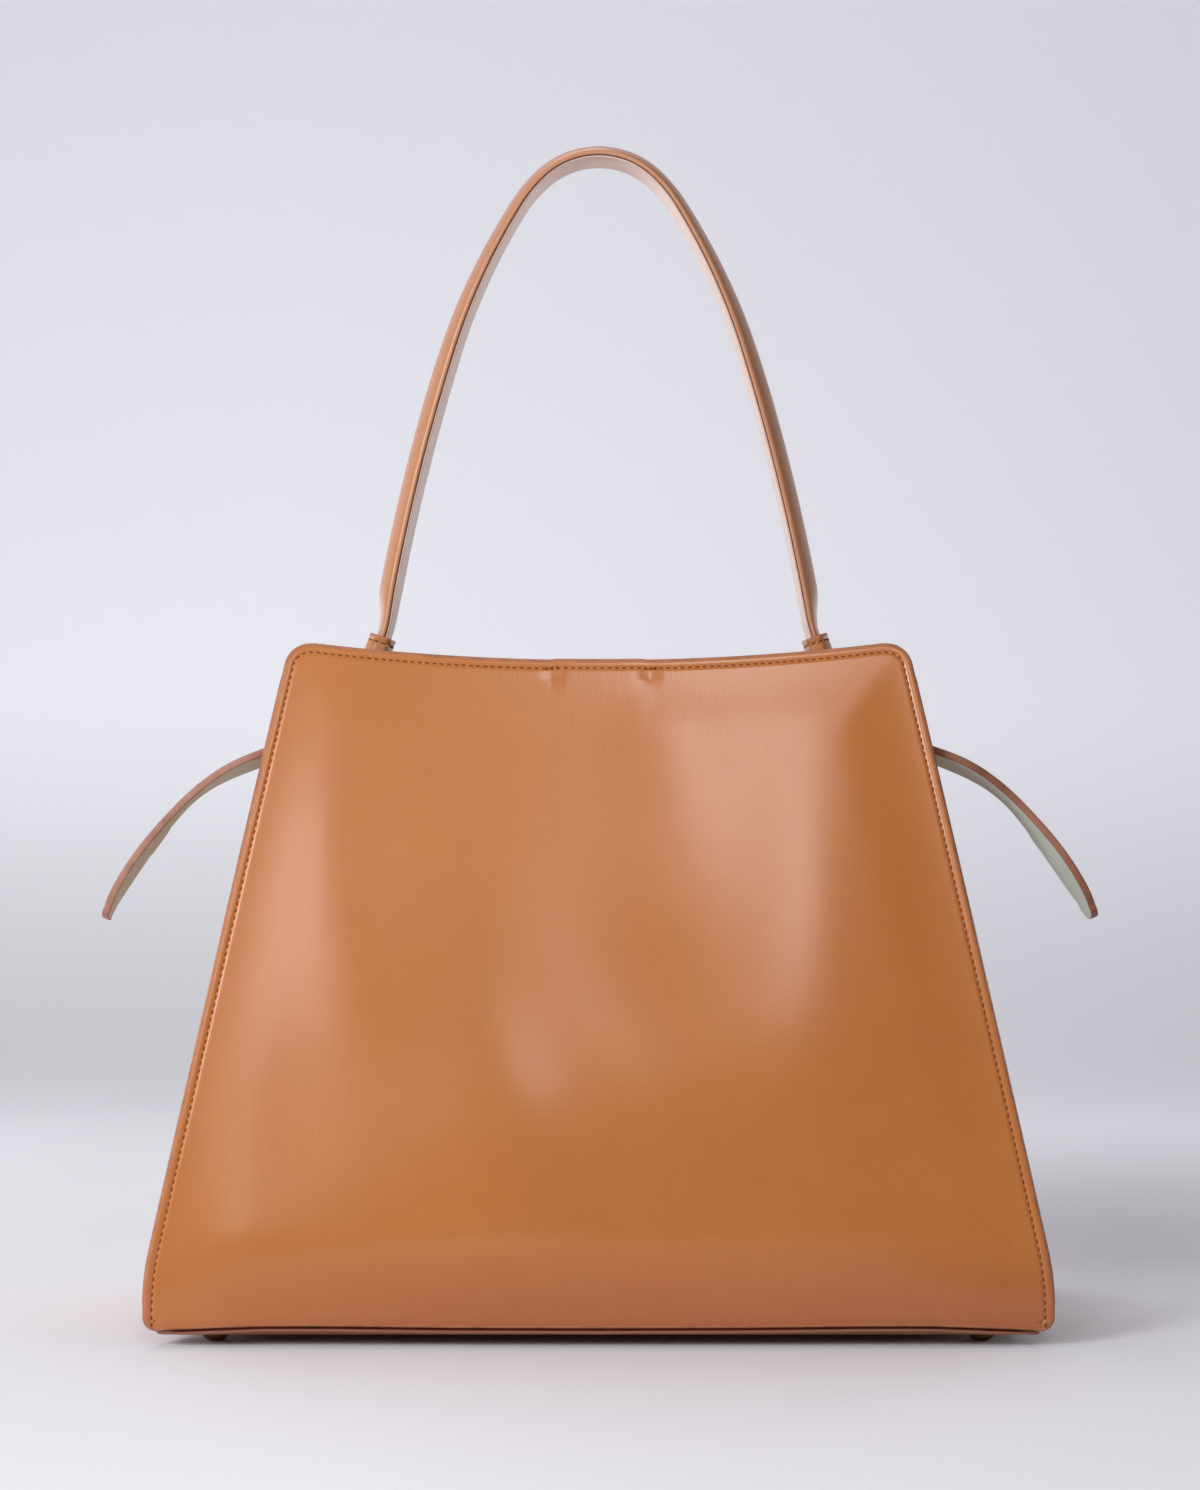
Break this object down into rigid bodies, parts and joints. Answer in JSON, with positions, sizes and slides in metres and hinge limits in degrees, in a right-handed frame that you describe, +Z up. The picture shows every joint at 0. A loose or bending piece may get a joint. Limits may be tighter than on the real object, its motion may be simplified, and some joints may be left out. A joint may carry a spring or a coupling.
{
  "type": "trapeze bag",
  "caption": "Structured trapezoid handbag with an arched shoulder strap on pivoting collars, drooping lined side wings, folded gussets, a snap closure inside the mouth and dome feet",
  "frame": {"origin": "on the floor, at the middle of the overall box's bottom face, under the middle of the bag", "axes": "+Z up, +X to the right seen from the front, the front faces -Y"},
  "size_m": [0.429, 0.16, 0.5065],
  "materials": {
    "leather_tan": "smooth, satin, very fine grain",
    "leather_dark": "smooth, satin, darker tan",
    "strap_lining": "smooth, matt, pale blush",
    "lining_sage": "matt, sage green",
    "wing_sage": "matt, sage green, soft nap",
    "board": "plain pressed board",
    "filler": "plain bonded filler",
    "dull_brass": "dull, brushed",
    "steel": "plain"
  },
  "bodies": {
    "bag": {"front_panel": "leather_tan", "back_panel": "leather_tan", "front_stiffener": "board", "back_stiffener": "board", "front_lining": "lining_sage", "back_lining": "lining_sage", "left_gusset": "leather_tan", "right_gusset": "leather_tan", "left_gusset_lining": "lining_sage", "right_gusset_lining": "lining_sage", "base_panel": "leather_dark", "base_board": "board", "base_lining": "lining_sage", "base_welt": "leather_tan", "foot_front_left": "dull_brass", "foot_front_right": "dull_brass", "foot_back_left": "dull_brass", "foot_back_right": "dull_brass", "foot_washers": "steel", "left_handle_tab": "leather_dark", "right_handle_tab": "leather_dark", "left_gusset_magnet": "steel", "right_gusset_magnet": "steel", "left_wing_anchor": "leather_tan", "right_wing_anchor": "leather_tan"},
    "handle": {"handle_strap": "leather_tan", "handle_core": "filler", "handle_lining": "strap_lining", "left_handle_collar": "leather_tan", "right_handle_collar": "leather_tan", "left_handle_rivet": "dull_brass", "right_handle_rivet": "dull_brass"},
    "left_wing": {"left_wing": "leather_tan", "left_wing_lining": "wing_sage", "left_wing_magnet": "steel"},
    "right_wing": {"right_wing": "leather_tan", "right_wing_lining": "wing_sage", "right_wing_magnet": "steel"},
    "closure_front": {"closure_tab_front": "leather_tan", "closure_tab_front_lining": "lining_sage", "snap_stud": "dull_brass", "snap_stud_washer": "steel"},
    "closure_back": {"closure_tab_back": "leather_tan", "closure_tab_back_lining": "lining_sage", "snap_socket": "dull_brass", "snap_socket_washer": "steel"}
  },
  "joints": [
    {"name": "handle_swing", "type": "hinge", "parent": "bag", "child": "handle", "pos_m": [0, 0, 0.2788], "axis": [1, 0, 0], "range_deg": [-30, 30]},
    {"name": "right_wing_fold", "type": "hinge", "parent": "bag", "child": "right_wing", "pos_m": [0.10889, 0, 0.2557], "axis": [0, 1, 0], "range_deg": [-30, 30]},
    {"name": "left_wing_fold", "type": "hinge", "parent": "bag", "child": "left_wing", "pos_m": [-0.10889, 0, 0.2557], "axis": [0, -1, 0], "range_deg": [-30, 30]},
    {"name": "closure_front_lift", "type": "hinge", "parent": "bag", "child": "closure_front", "pos_m": [0, -0.02631, 0.2775], "axis": [1, 0, 0], "range_deg": [0, 75]},
    {"name": "closure_back_drop", "type": "hinge", "parent": "bag", "child": "closure_back", "pos_m": [0, 0.02782, 0.26895], "axis": [1, 0, 0], "range_deg": [0, 70]}
  ]
}
